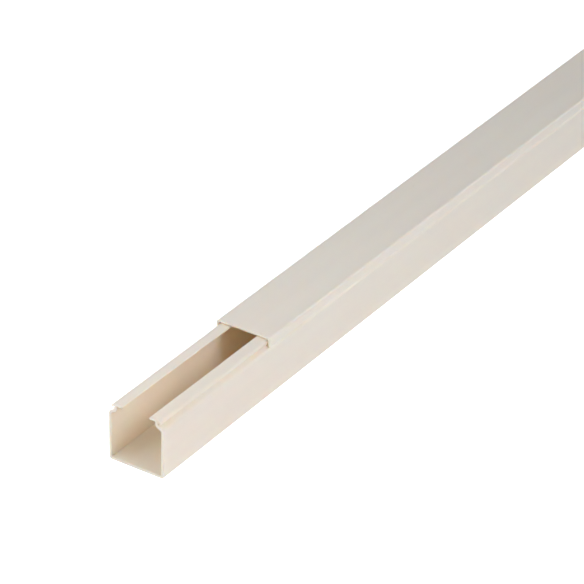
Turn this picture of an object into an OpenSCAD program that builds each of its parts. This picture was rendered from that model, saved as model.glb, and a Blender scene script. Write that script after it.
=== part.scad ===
// Square cable trunking: an extruded U-shaped base and a clip-on lid that slides along it.
// Each side wall bends inward below its top and ends in a T-shaped head with a rounded nose.
// The lid's legs snap over the noses, stand flush with the walls and hook into the grooves below.
// Millimetres. X runs across the section, Y along the length, and Z up from the underside.
// The origin is the centre of the base's underside, and the near end is at -Y.

/* [Stock] */
// Length of the base
base_length = 2000; // [500:10:3000]
// Length of the lid
lid_length = 2000; // [500:10:3000]
// Distance that the lid is drawn back from the near end of the base
lid_setback = 84.5; // [0:0.5:400]

/* [Base] */
// Width over the outer faces of the side walls
base_width = 30; // [26:0.5:60]
// Height from the underside to the top of the heads
base_height = 30; // [20:0.5:60]
// Thickness of the side walls, shoulders and stems
wall = 1.2; // [0.9:0.05:1.6]
// Thickness of the floor
floor_thickness = 1.2; // [0.9:0.05:2]
// Outside radius of the two bottom edges
bottom_radius = 1.1; // [0.4:0.1:2.5]
// Inside radius where the floor meets the walls
floor_fillet = 0.5; // [0.2:0.1:2]

/* [Heads] */
// Clear width of the mouth between the two heads
mouth_width = 14.5; // [8:0.5:16]
// Thickness of a head's flange at its stem
flange_thickness = 0.9; // [0.7:0.05:1.4]
// Radius of the inner tip of a head
tip_radius = 0.3; // [0.1:0.05:0.35]
// Radius of the lip at the bottom of a head's nose
lip_radius = 0.25; // [0.1:0.05:0.35]
// Depth of the groove, from the outer face to the stem
groove_depth = 3.2; // [2.8:0.1:4]
// Height of the groove between the shoulder and the underside of the nose
groove_height = 1.7; // [1.5:0.1:2.4]
// Slope of the shoulder, in degrees from level
shoulder_angle = 30; // [20:1:40]
// Outside radius of the bend from the wall into the shoulder
shoulder_radius = 2; // [1.7:0.1:2.4]
// Radius where the shoulder bends up into the stem
groove_radius = 0.4; // [0.2:0.05:0.6]
// Fillet between a stem and the underside of its head
stem_fillet = 0.3; // [0.1:0.05:0.4]

/* [Lid] */
// Thickness of the lid's top
lid_thickness = 0.9; // [0.7:0.05:1.6]
// Thickness of the lid's legs
leg_thickness = 1.1; // [0.8:0.05:1.3]
// Outside radius of the lid's top edges
lid_radius = 1.2; // [0.3:0.1:1.6]
// Inside radius where a leg meets the top
lid_fillet = 0.4; // [0.1:0.1:1]
// Outside radius at the foot of a leg
foot_radius = 0.6; // [0.2:0.05:0.8]
// Thickness of the hook at the foot of a leg
hook_thickness = 0.6; // [0.4:0.05:0.8]
// Distance that a hook reaches in under the nose of the head
hook_bite = 0.6; // [0.3:0.05:0.8]

/* [Fit] */
// Gap between the tops of the heads and the lid
lid_gap = 0.6; // [0.3:0.05:1.5]
// Gap between the nose of a head and the lid's leg
leg_clearance = 0.3; // [0.2:0.05:0.6]
// Gap between a hook and the shoulder under it
seat_clearance = 0.2; // [0.1:0.05:0.4]

/* [Hidden] */
// Straight steps in each rounded corner of an outline
arc_steps = 8;
shell_colour = [0.90, 0.87, 0.80];
half_width = base_width / 2;
lid_top = base_height + lid_gap + lid_thickness;
head_underside = base_height - flange_thickness;
// Distance from the outer face to the nose of a head
nose_inset = leg_thickness + leg_clearance;
// Where the shoulder's upper face would meet the stem
groove_floor = head_underside - groove_height;
stem_outside = half_width - groove_depth;
// Heights of the centres of the lower and upper bends, each tangent to the shoulder's upper face
lower_bend_z = groove_floor
    - (shoulder_radius + (groove_depth - shoulder_radius) * sin(shoulder_angle)) / cos(shoulder_angle);
upper_bend_z = groove_floor + groove_radius * (1 - sin(shoulder_angle)) / cos(shoulder_angle);
lower_bend = [half_width - shoulder_radius, lower_bend_z];
upper_bend = [stem_outside + groove_radius, upper_bend_z];
bend_turn = 90 - shoulder_angle;
// The lip, the groove's roof at the stem and a leg's foot turn between the slope and upright
slope_turn = 90 + shoulder_angle;
roof_bend = [stem_outside + stem_fillet, head_underside - stem_fillet * tan(slope_turn / 2)];
// The underside of the nose is parallel to the shoulder, and the nose is a quarter round above its lip
lip_z = head_underside - (groove_depth - nose_inset) * tan(shoulder_angle)
    + lip_radius * tan(slope_turn / 2);
nose_radius = base_height - lip_z;
// Distance from the outer face to the tip of a hook
hook_reach = nose_inset + hook_bite;

stem_inside = stem_outside - wall;
nose_edge = half_width - nose_inset;
tip_edge = mouth_width / 2;
leg_inside = half_width - leg_thickness;
hook_tip = half_width - hook_reach;
hook_rise = hook_thickness / cos(shoulder_angle);

// Height of the underside of a lid's leg at a distance in from the outer face
function seat_z(inset) = groove_floor - (groove_depth - inset) * tan(shoulder_angle)
    + seat_clearance / cos(shoulder_angle);
foot_z = seat_z(0) + foot_radius * tan(slope_turn / 2);

// Points along an arc about a centre, from one angle to another
function arc(centre, radius, from, to) = [
    for (step = [0 : arc_steps])
        let (angle = from + (to - from) * step / arc_steps)
        centre + radius * [cos(angle), sin(angle)]
];

// A closed outline from its right half, which starts and ends on the middle plane
function both_halves(right) = concat(
    right,
    [for (i = [len(right) - 1 : -1 : 0]) [-right[i][0], right[i][1]]]
);

// Right half of the base: out along the underside, up the wall's outer face, around the head,
// and down the inner face to the floor
base_half = concat(
    arc([half_width - bottom_radius, bottom_radius], bottom_radius, -90, 0),
    arc(lower_bend, shoulder_radius, 0, bend_turn),
    arc(upper_bend, groove_radius, 180 + bend_turn, 180),
    arc(roof_bend, stem_fillet, 180, bend_turn),
    arc([nose_edge - lip_radius, lip_z], lip_radius, -slope_turn, 0),
    arc([nose_edge - nose_radius, lip_z], nose_radius, 0, 90),
    arc([tip_edge + tip_radius, base_height - tip_radius], tip_radius, 90, 180),
    arc([tip_edge + tip_radius, head_underside + tip_radius], tip_radius, 180, 270),
    arc([stem_inside - stem_fillet, head_underside - stem_fillet], stem_fillet, 90, 0),
    arc(upper_bend, groove_radius + wall, 180, 180 + bend_turn),
    arc(lower_bend, shoulder_radius - wall, bend_turn, 0),
    arc([half_width - wall - floor_fillet, floor_thickness + floor_fillet], floor_fillet, 0, -90)
);

// Right half of the lid: out under its top, down the leg's inner face, around the hook,
// and up the outer face to the top
lid_half = concat(
    arc([leg_inside - lid_fillet, lid_top - lid_thickness - lid_fillet], lid_fillet, 90, 0),
    [
        [leg_inside, seat_z(leg_thickness) + hook_rise],
        [hook_tip, seat_z(hook_reach) + hook_rise],
        [hook_tip, seat_z(hook_reach)]
    ],
    arc([half_width - foot_radius, foot_z], foot_radius, -slope_turn, 0),
    arc([half_width - lid_radius, lid_top - lid_radius], lid_radius, 0, 90)
);

// Extrudes an outline along Y from a start, by a length
module extrude_along(start, length, outline) {
    translate([0, start + length, 0]) rotate([90, 0, 0]) linear_extrude(length) polygon(outline);
}

module base() {
    color(shell_colour) extrude_along(-base_length / 2, base_length, both_halves(base_half));
}

module lid() {
    color(shell_colour)
        extrude_along(lid_setback - base_length / 2, lid_length, both_halves(lid_half));
}

base();
lid();
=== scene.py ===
import math

import bpy
import numpy as np
from mathutils import Matrix, Vector


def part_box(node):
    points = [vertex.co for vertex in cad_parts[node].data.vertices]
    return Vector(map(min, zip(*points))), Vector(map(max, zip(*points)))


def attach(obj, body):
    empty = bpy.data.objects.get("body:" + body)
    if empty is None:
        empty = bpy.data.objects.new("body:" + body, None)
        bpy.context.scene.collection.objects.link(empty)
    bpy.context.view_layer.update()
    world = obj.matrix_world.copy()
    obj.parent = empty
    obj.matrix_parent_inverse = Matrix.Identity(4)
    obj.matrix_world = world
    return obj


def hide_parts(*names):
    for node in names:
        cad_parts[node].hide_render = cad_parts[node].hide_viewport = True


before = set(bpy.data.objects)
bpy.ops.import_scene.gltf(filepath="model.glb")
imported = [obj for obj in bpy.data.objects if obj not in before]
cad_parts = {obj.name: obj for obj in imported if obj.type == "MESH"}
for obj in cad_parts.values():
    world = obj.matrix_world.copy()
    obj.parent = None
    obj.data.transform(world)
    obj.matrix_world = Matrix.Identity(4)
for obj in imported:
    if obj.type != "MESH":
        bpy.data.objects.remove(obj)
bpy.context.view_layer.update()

# The base is one length of rigid plastic, pressed through a die as a U with a snap head on each wall.
# It is sawn square at both ends, and it lies with its flat underside on the floor.
# Sizes of the plastic are in millimetres, which MM turns into the frame's metres.
MM = 0.001
base_low, base_high = (np.array(corner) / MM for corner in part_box("base"))
half_width = base_high[0]
base_height = base_high[2]
wall = 1.2
floor_thickness = 1.2
bottom_radius = 1.1
floor_fillet = 0.5

# A head is a T on a stem: its tip reaches into the mouth, and its nose ends in a lip over the groove.
mouth_width = 14.5
flange_thickness = 0.9
tip_radius = 0.3
nose_inset = 1.4
nose_radius = 1.45
lip_radius = 0.25
groove_depth = 3.2
groove_height = 1.7
groove_radius = 0.4
shoulder_slope = math.radians(30)
shoulder_radius = 2.0
stem_fillet = 0.3

head_underside = base_height - flange_thickness
groove_floor = head_underside - groove_height
lip_height = head_underside - (groove_depth - nose_inset) * math.tan(shoulder_slope)
wall_drop = wall / math.cos(shoulder_slope)
wall_inside = half_width - wall
stem_outside = half_width - groove_depth
stem_inside = stem_outside - wall
nose_edge = half_width - nose_inset
tip_edge = mouth_width / 2


def shoulder_height(inset):
    """Height of the shoulder's upper face at a distance in from the outer face: a straight slope."""
    return groove_floor - (groove_depth - inset) * math.tan(shoulder_slope)


def mirrored(right_half):
    """A closed outline of (x, z, radius) corners from its right half, reflected in x = 0."""
    right = np.array(right_half)
    return np.vstack([right, right[::-1] * (-1, 1, 1)])


def rounded_outline(corners, steps=7, hold=0.25, hold_share=0.3):
    """Points and outward normals of a closed outline with each corner turned into a tangent arc.

    An arc starts radius * tan(turn / 2) before its corner, and its points stand at the radius from
    its centre, as the heading swings evenly through the turn. A holding point on the straight at
    each end of an arc keeps the flat beside it flat. It stands at hold from the arc, or at
    hold_share of a short straight.
    """
    place, radius = corners[:, :2], corners[:, 2:]
    ahead = np.roll(place, -1, axis=0) - place
    length = np.linalg.norm(ahead, axis=1, keepdims=True)
    heading = np.arctan2(ahead[:, 1], ahead[:, 0])[:, None]
    before = np.roll(heading, 1, axis=0)
    turn = (heading - before + math.pi) % math.tau - math.pi
    reach = radius * np.tan(np.abs(turn) / 2)
    straight = length - reach - np.roll(reach, -1, axis=0)
    spare = np.minimum(hold, hold_share * straight)
    way_in = np.hstack([np.cos(before), np.sin(before)])
    way_out = np.hstack([np.cos(heading), np.sin(heading)])
    side = radius * np.sign(turn)
    centre = place - way_in * reach + side * np.hstack([-np.sin(before), np.cos(before)])
    swing = before + turn * np.linspace(0, 1, steps + 1)
    normal = np.stack([np.sin(swing), -np.cos(swing)], axis=-1)
    arc = centre[:, None] + side[:, None] * normal
    lead_in = arc[:, :1] - (np.roll(spare, 1, axis=0) * way_in)[:, None]
    lead_out = arc[:, -1:] + (spare * way_out)[:, None]
    points = np.concatenate([lead_in, arc, lead_out], axis=1)
    normals = np.concatenate([normal[:, :1], normal, normal[:, -1:]], axis=1)
    return points.reshape(-1, 2), normals.reshape(-1, 2)


def add_object(name, data):
    """A new object in the scene, at the origin, that shows this mesh, lamp or camera."""
    thing = bpy.data.objects.new(name, data)
    bpy.context.scene.collection.objects.link(thing)
    return thing


def extrusion(name, corners, start, end, spacing=40.0, cut_radius=0.1, cut_steps=4, rim_clearance=1.0):
    """A piece whose outline is carried straight along Y from start to end, closed by two saw cuts.

    Near an end the outline is drawn in by cut_radius * (1 - cos a) at cut_radius * (1 - sin a) from
    it, while a goes from 90 degrees to 0, so each cut has a finely rounded rim. Between the rims the
    outline is repeated about every spacing, from rim_clearance inside each end. The attribute sawn
    is 1 on the cuts and their rims. The UV map OFBake lays the outline's own length across and Y
    upwards, with the two cuts in a strip beside it.
    """
    points, normals = rounded_outline(corners)
    angle = np.linspace(0, math.pi / 2, cut_steps + 1)
    rim_run = cut_radius * (1 - np.sin(angle))
    rim_inset = cut_radius * (1 - np.cos(angle))
    middle = np.linspace(start + rim_clearance, end - rim_clearance, int((end - start) / spacing))
    stations = np.concatenate([start + rim_run[::-1], middle, end - rim_run])
    insets = np.concatenate([rim_inset[::-1], np.zeros(len(middle)), rim_inset])
    across = points[None] - insets[:, None, None] * normals[None]
    along = np.broadcast_to(stations[:, None, None], across[..., :1].shape)
    vertices = np.concatenate([across[..., :1], along, across[..., 1:]], axis=-1)

    count = len(points)
    rows = len(stations) - 1
    ring = np.arange(count)
    row_start = np.arange(rows)[:, None] * count
    here = row_start + ring
    beside = row_start + (ring + 1) % count
    quads = np.stack([here, here + count, beside + count, beside], axis=-1)
    cuts = [ring.tolist(), (rows * count + ring[::-1]).tolist()]
    faces = quads.reshape(-1, 4).tolist() + cuts
    mesh = bpy.data.meshes.new(name)
    mesh.from_pydata((vertices.reshape(-1, 3) * MM).tolist(), [], faces)

    at_rim = np.minimum(np.arange(rows), np.arange(rows)[::-1]) < cut_steps
    sawn = np.concatenate([np.repeat(at_rim, count), [True, True]])
    mesh.attributes.new("sawn", "FLOAT", "FACE").data.foreach_set("value", sawn.astype(np.float32))
    smooth = np.arange(len(faces)) < rows * count
    mesh.polygons.foreach_set("use_smooth", smooth)

    strip_share, cut_share = 0.88, 0.1
    step = np.linalg.norm(np.roll(points, -1, axis=0) - points, axis=1)
    around = strip_share * np.concatenate([[0], np.cumsum(step)]) / step.sum()
    upward = (stations - start) / (end - start)
    u = np.stack([around[:-1], around[:-1], around[1:], around[1:]], axis=-1)[None]
    v = np.stack([upward[:-1], upward[1:], upward[1:], upward[:-1]], axis=-1)[:, None]
    strip = np.stack(np.broadcast_arrays(u, v), axis=-1)
    cut = cut_share * (points - points.min(axis=0)) / np.ptp(points, axis=0).max()
    near_cut = cut + (1 - cut_share, 0)
    far_cut = cut[::-1] + (1 - cut_share, 2 * cut_share)
    uv = np.concatenate([strip.reshape(-1, 2), near_cut, far_cut])
    mesh.uv_layers.new(name="OFBake").data.foreach_set("uv", uv.astype(np.float32).ravel())
    return add_object(name, mesh)


def feed(tree, node, inputs):
    """Feeds a node's inputs by name or number: a socket is linked, and any other value is set."""
    for name, value in inputs.items():
        if isinstance(value, bpy.types.NodeSocket):
            tree.links.new(value, node.inputs[name])
        else:
            node.inputs[name].default_value = value


def add_node(tree, kind, inputs, **settings):
    """A new node of a kind, with its settings, which come first, and its inputs."""
    node = tree.nodes.new(kind)
    for name, value in settings.items():
        setattr(node, name, value)
    feed(tree, node, inputs)
    return node


def calculate(tree, operation, first, second, third=0.0):
    """The result of one Math node: each operand is a socket or a number."""
    operands = {0: first, 1: second, 2: third}
    return add_node(tree, "ShaderNodeMath", operands, operation=operation).outputs[0]


def node_group(name, inputs, outputs):
    """An empty shader node group with named sockets, as (tree, its input sockets, its output node)."""
    tree = bpy.data.node_groups.new(name, "ShaderNodeTree")
    for in_out, sockets in (("INPUT", inputs), ("OUTPUT", outputs)):
        for socket, kind in sockets.items():
            tree.interface.new_socket(socket, in_out=in_out, socket_type="NodeSocket" + kind)
    given = tree.nodes.new("NodeGroupInput").outputs
    result = tree.nodes.new("NodeGroupOutput")
    return tree, given, result


def extruded_finish():
    """Plastic as it leaves the die: fine lines and broad flow bands along Y, clouds and rare specks.

    A pattern is noise with so many waves to the metre along X, Y and Z, less its mean. A speck is the
    core of a cell that happens to meet the surface. There are speck_cells cells to the metre, and a
    speck fades out from speck_core to speck_rim, in cell widths from its middle.
    """
    tree, given, result = node_group(
        "extruded_finish",
        {"Colour": "Color", "Bands": "Float", "Clouds": "Float", "Satin": "Float"},
        {"Colour": "Color", "Roughness": "Float", "Height": "Float"},
    )
    place = tree.nodes.new("ShaderNodeTexCoord").outputs["Object"]
    noise_mean = 0.5

    def pattern(waves, detail):
        stretched = add_node(tree, "ShaderNodeMapping", {"Vector": place, "Scale": waves}).outputs[0]
        noise = add_node(tree, "ShaderNodeTexNoise", {"Vector": stretched, "Scale": 1.0, "Detail": detail})
        return calculate(tree, "SUBTRACT", noise.outputs["Fac"], noise_mean)

    die_lines = pattern(waves=(1500, 2.5, 1500), detail=3)
    flow_bands = pattern(waves=(190, 0.8, 190), detail=2)
    clouds = pattern(waves=(60, 14, 60), detail=3)
    tone = calculate(tree, "MULTIPLY_ADD", flow_bands, given["Bands"], 1.0)
    tone = calculate(tree, "MULTIPLY_ADD", clouds, given["Clouds"], tone)
    toned = add_node(tree, "ShaderNodeHueSaturation", {"Color": given["Colour"], "Value": tone})

    speck_cells = 45.0
    speck_core, speck_rim = 0.008, 0.016
    speck_strength = 0.35
    speck_colour = (0.20, 0.14, 0.08, 1)
    cell = add_node(tree, "ShaderNodeTexVoronoi", {"Vector": place, "Scale": speck_cells})
    speck = add_node(tree, "ShaderNodeMapRange", {
        "Value": cell.outputs["Distance"],
        "From Min": speck_core,
        "From Max": speck_rim,
        "To Min": speck_strength,
        "To Max": 0.0,
    })
    marked = add_node(tree, "ShaderNodeMixRGB", {
        "Fac": speck.outputs[0],
        "Color1": toned.outputs[0],
        "Color2": speck_colour,
    })

    line_roughness, cloud_roughness = 0.16, 0.12
    band_height = 2.0
    roughness = calculate(tree, "MULTIPLY_ADD", die_lines, line_roughness, given["Satin"])
    roughness = calculate(tree, "MULTIPLY_ADD", clouds, cloud_roughness, roughness)
    height = calculate(tree, "MULTIPLY_ADD", flow_bands, band_height, die_lines)
    feed(tree, result, {"Colour": marked.outputs[0], "Roughness": roughness, "Height": height})
    return tree


def saw_marks():
    """A sawn face: paler and rougher, scored with arcs about the axle of the blade that crossed it.

    The strokes are noise along the distance from the axle, whose place is in metres.
    """
    tree, given, result = node_group(
        "saw_marks",
        {"Colour": "Color", "Roughness": "Float", "Height": "Float", "Depth": "Float"},
        {"Colour": "Color", "Roughness": "Float", "Height": "Float"},
    )
    place = tree.nodes.new("ShaderNodeTexCoord").outputs["Object"]
    axle_x, axle_z = -0.07, -0.11
    stroke_waves, stroke_detail = 3600.0, 3.0
    about_axle = {"Vector": place, "Location": (-axle_x, 0, -axle_z), "Scale": (1, 0, 1)}
    flat = add_node(tree, "ShaderNodeMapping", about_axle).outputs[0]
    radius = add_node(tree, "ShaderNodeVectorMath", {0: flat}, operation="LENGTH").outputs["Value"]
    scoring = {"W": radius, "Scale": stroke_waves, "Detail": stroke_detail}
    stroke = add_node(tree, "ShaderNodeTexNoise", scoring, noise_dimensions="1D").outputs["Fac"]

    sawn_roughness = 0.22
    stroke_tone, stroke_height = 0.10, 3.0
    sawn = add_node(tree, "ShaderNodeAttribute", {}, attribute_name="sawn").outputs["Fac"]
    depth = calculate(tree, "MULTIPLY", sawn, given["Depth"])
    pale = calculate(tree, "MULTIPLY", depth, stroke)
    tone = calculate(tree, "MULTIPLY_ADD", pale, stroke_tone, 1.0)
    toned = add_node(tree, "ShaderNodeHueSaturation", {"Color": given["Colour"], "Value": tone})
    rougher = calculate(tree, "MULTIPLY_ADD", depth, sawn_roughness, given["Roughness"])
    scored = calculate(tree, "MULTIPLY_ADD", pale, stroke_height, given["Height"])
    feed(tree, result, {"Colour": toned.outputs[0], "Roughness": rougher, "Height": scored})
    return tree


finish_group = extruded_finish()
saw_group = saw_marks()


def extruded_plastic(name, colour, bands, clouds, satin):
    """Plastic from the die and the saw, a little translucent, so that thin edges and gaps glow warm."""
    saw_depth = 0.4
    bump_strength = 0.25
    bump_height = 0.01 * MM
    refraction = 1.53
    glow_depth = (0.75, 0.6, 0.45)

    material = bpy.data.materials.new(name)
    material.use_nodes = True
    tree = material.node_tree
    finish_values = {"Colour": (*colour, 1), "Bands": bands, "Clouds": clouds, "Satin": satin}
    finish = add_node(tree, "ShaderNodeGroup", finish_values, node_tree=finish_group)
    from_die = {socket: finish.outputs[socket] for socket in ("Colour", "Roughness", "Height")}
    surface = add_node(tree, "ShaderNodeGroup", {**from_die, "Depth": saw_depth}, node_tree=saw_group)
    relief = {"Height": surface.outputs["Height"], "Strength": bump_strength, "Distance": bump_height}
    bump = add_node(tree, "ShaderNodeBump", relief)
    feed(tree, tree.nodes["Principled BSDF"], {
        "Base Color": surface.outputs["Colour"],
        "Roughness": surface.outputs["Roughness"],
        "Normal": bump.outputs["Normal"],
        "IOR": refraction,
        "Subsurface Weight": 1.0,
        "Subsurface Radius": glow_depth,
        "Subsurface Scale": MM,
    })
    return material


base_outline = mirrored([
    (half_width, 0, bottom_radius),
    (half_width, shoulder_height(0), shoulder_radius),
    (stem_outside, groove_floor, groove_radius),
    (stem_outside, head_underside, stem_fillet),
    (nose_edge, lip_height, lip_radius),
    (nose_edge, base_height, nose_radius),
    (tip_edge, base_height, tip_radius),
    (tip_edge, head_underside, tip_radius),
    (stem_inside, head_underside, stem_fillet),
    (stem_inside, shoulder_height(groove_depth + wall) - wall_drop, groove_radius + wall),
    (wall_inside, shoulder_height(wall) - wall_drop, shoulder_radius - wall),
    (wall_inside, floor_thickness, floor_fillet),
])
base_channel = extrusion("base_channel", base_outline, base_low[1], base_high[1])
base_colour = (0.91, 0.83, 0.675)
base_channel.data.materials.append(
    extruded_plastic("base_plastic", base_colour, bands=0.05, clouds=0.05, satin=0.42)
)
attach(base_channel, "base")
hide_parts("base")

# The lid is a second extrusion of the same plastic, a shallow U with a hook along the foot of each leg.
# It snaps over the heads, flush with the walls, and it is slid back so that the base's near end is open.
lid_low, lid_high = (np.array(corner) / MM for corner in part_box("lid"))
lid_top = lid_high[2]
lid_thickness = 0.9
leg_thickness = 1.1
lid_radius = 1.2
lid_fillet = 0.4
foot_radius = 0.6
hook_thickness = 0.6
hook_reach = 2.0
seat_clearance = 0.2
die_edge = 0.12

leg_inside = half_width - leg_thickness
hook_tip = half_width - hook_reach
seat_rise = seat_clearance / math.cos(shoulder_slope)
hook_rise = seat_rise + hook_thickness / math.cos(shoulder_slope)
lid_outline = mirrored([
    (leg_inside, lid_top - lid_thickness, lid_fillet),
    (leg_inside, shoulder_height(leg_thickness) + hook_rise, die_edge),
    (hook_tip, shoulder_height(hook_reach) + hook_rise, die_edge),
    (hook_tip, shoulder_height(hook_reach) + seat_rise, die_edge),
    (half_width, shoulder_height(0) + seat_rise, foot_radius),
    (half_width, lid_top, lid_radius),
])
lid_cover = extrusion("lid_cover", lid_outline, lid_low[1], lid_high[1])
lid_colour = (0.91, 0.83, 0.68)
lid_cover.data.materials.append(
    extruded_plastic("lid_plastic", lid_colour, bands=0.05, clouds=0.06, satin=0.40)
)
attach(lid_cover, "lid")
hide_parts("lid")

# The stage is a wide sheet of white paper under a soft white surround, with softboxes on stands.
# The paper lies just below the trunking, shows as white and still takes its shadow.
# Lengths of the stage are in metres.
paper_reach = 30.0
paper_drop = 0.00005
paper_colour = (0.85, 0.85, 0.85, 1)
paper_roughness = 0.9
paper_glow = 0.88
white = (1, 1, 1, 1)
surround_level = 0.06


def seen_directly(tree):
    """1 for a ray from the eye, a mirror or through glass, and 0 for light that falls on the object."""
    path = tree.nodes.new("ShaderNodeLightPath").outputs
    seen = calculate(tree, "MAXIMUM", path["Is Camera Ray"], path["Is Glossy Ray"])
    return calculate(tree, "MAXIMUM", seen, path["Is Transmission Ray"])


paper_mesh = bpy.data.meshes.new("studio_floor")
paper_square = np.array([(-1, -1, 0), (1, -1, 0), (1, 1, 0), (-1, 1, 0)])
paper_corners = paper_square * paper_reach - (0, 0, paper_drop)
paper_mesh.from_pydata(paper_corners.tolist(), [], [(0, 1, 2, 3)])
studio_floor = add_object("studio_floor", paper_mesh)
paper = bpy.data.materials.new("white_paper")
paper.use_nodes = True
paper_tree = paper.node_tree
feed(paper_tree, paper_tree.nodes["Principled BSDF"], {
    "Base Color": paper_colour,
    "Roughness": paper_roughness,
    "Emission Color": white,
    "Emission Strength": calculate(paper_tree, "MULTIPLY", seen_directly(paper_tree), paper_glow),
})
studio_floor.data.materials.append(paper)

surround = bpy.data.worlds.new("studio_surround")
bpy.context.scene.world = surround
surround.use_nodes = True
surround_tree = surround.node_tree
seen = seen_directly(surround_tree)
level = calculate(surround_tree, "MULTIPLY_ADD", seen, 1 - surround_level, surround_level)
feed(surround_tree, surround_tree.nodes["Background"], {"Color": white, "Strength": level})

daylight = (1.0, 1.02, 1.15)


def softbox(name, place, facing, size, watts, beam=180):
    """A square soft lamp out of the camera's sight, turned to the middle of the base at Y = facing.

    Its beam is in degrees: a narrow one stands for a softbox with a grid.
    """
    light = bpy.data.lights.new(name, "AREA")
    light.size = size
    light.energy = watts
    light.spread = math.radians(beam)
    light.color = daylight
    lamp = add_object(name, light)
    lamp.location = place
    aim = Vector((0, facing, base_height / 2 * MM)) - Vector(place)
    lamp.rotation_euler = aim.to_track_quat("-Z", "Y").to_euler()
    lamp.visible_camera = False


# The heads and the right side, towards the near end
softbox("high_right_softbox", place=(1.2, -0.9, 1.5), facing=-1.0, size=0.7, watts=0.73, beam=50)
softbox("right_softbox", place=(1.0, -0.85, 0.75), facing=-0.9, size=0.5, watts=1.85)
softbox("close_right_softbox", place=(0.55, -1.05, 0.5), facing=-0.75, size=0.45, watts=1.05)

# The open channel, from the front and from the left
softbox("front_left_softbox", place=(-0.45, -1.45, 0.35), facing=-0.95, size=0.4, watts=1.35)
softbox("high_left_softbox", place=(-0.9, -1.1, 1.1), facing=-0.9, size=0.9, watts=2.2)
softbox("close_front_softbox", place=(-0.15, -1.5, 0.4), facing=-0.75, size=0.4, watts=1.4)

# The left side, from close to the paper
softbox("left_softbox", place=(-0.9, -0.35, 0.07), facing=-0.35, size=0.12, watts=0.8, beam=100)
softbox("far_left_softbox", place=(-0.9, 0.6, 0.07), facing=0.6, size=0.12, watts=1.1, beam=100)

# The lid's rounded edge, the seam and the head's nose, which mirror a large one far off
softbox("back_right_softbox", place=(1.9, 2.4, 1.1), facing=-0.4, size=1.3, watts=22)

# The lid's top further along, and the far end
softbox("middle_top_softbox", place=(0.3, 0.05, 0.9), facing=0.05, size=0.5, watts=0.6, beam=70)
softbox("far_top_softbox", place=(0.3, 0.85, 0.9), facing=0.85, size=0.5, watts=0.45, beam=70)
softbox("back_softbox", place=(0.1, 1.9, 0.4), facing=1.0, size=0.5, watts=1.2)

# The lid where it is drawn out past the base's far end
softbox("drawn_lid_softbox", place=(0.5, 1.7, 1.0), facing=1.7, size=0.8, watts=1.2, beam=120)
softbox("drawn_lid_end_softbox", place=(-0.5, 2.6, 1.0), facing=2.6, size=0.8, watts=1.4, beam=120)

# The camera stands in front and to the right of the near end and looks down along the trunking.
# Its place is measured in metres from the near left bottom corner of the base, along its own three
# directions. Its film is in millimetres, as lenses are.
image_side = 584
focal_pixels = 3218.73
film_width = 36.0
azimuth = math.radians(32.949)
elevation = math.radians(30.6029)
roll = math.radians(1.20853)
camera_back, camera_right, camera_up = 1.45303, 0.0824616, 0.0749631

near_corner = Vector(base_low * MM)
back = Vector((
    math.sin(azimuth) * math.cos(elevation),
    -math.cos(azimuth) * math.cos(elevation),
    math.sin(elevation),
))
level_right = Vector((math.cos(azimuth), math.sin(azimuth), 0))
right = math.cos(roll) * level_right + math.sin(roll) * back.cross(level_right)
up = back.cross(right)
eye = near_corner + camera_back * back + camera_right * right + camera_up * up
lens = bpy.data.cameras.new("camera")
lens.sensor_width = film_width
lens.lens = focal_pixels / image_side * film_width
camera = add_object("camera", lens)
camera.matrix_world = Matrix.Translation(eye) @ Matrix((right, up, back)).transposed().to_4x4()
bpy.context.scene.camera = camera
bpy.context.scene.view_settings.view_transform = "Standard"

# Inside the pale channel the light is thrown to and fro many times before it is lost.
light_bounces = 24
bpy.context.scene.cycles.max_bounces = light_bounces
bpy.context.scene.cycles.diffuse_bounces = light_bounces
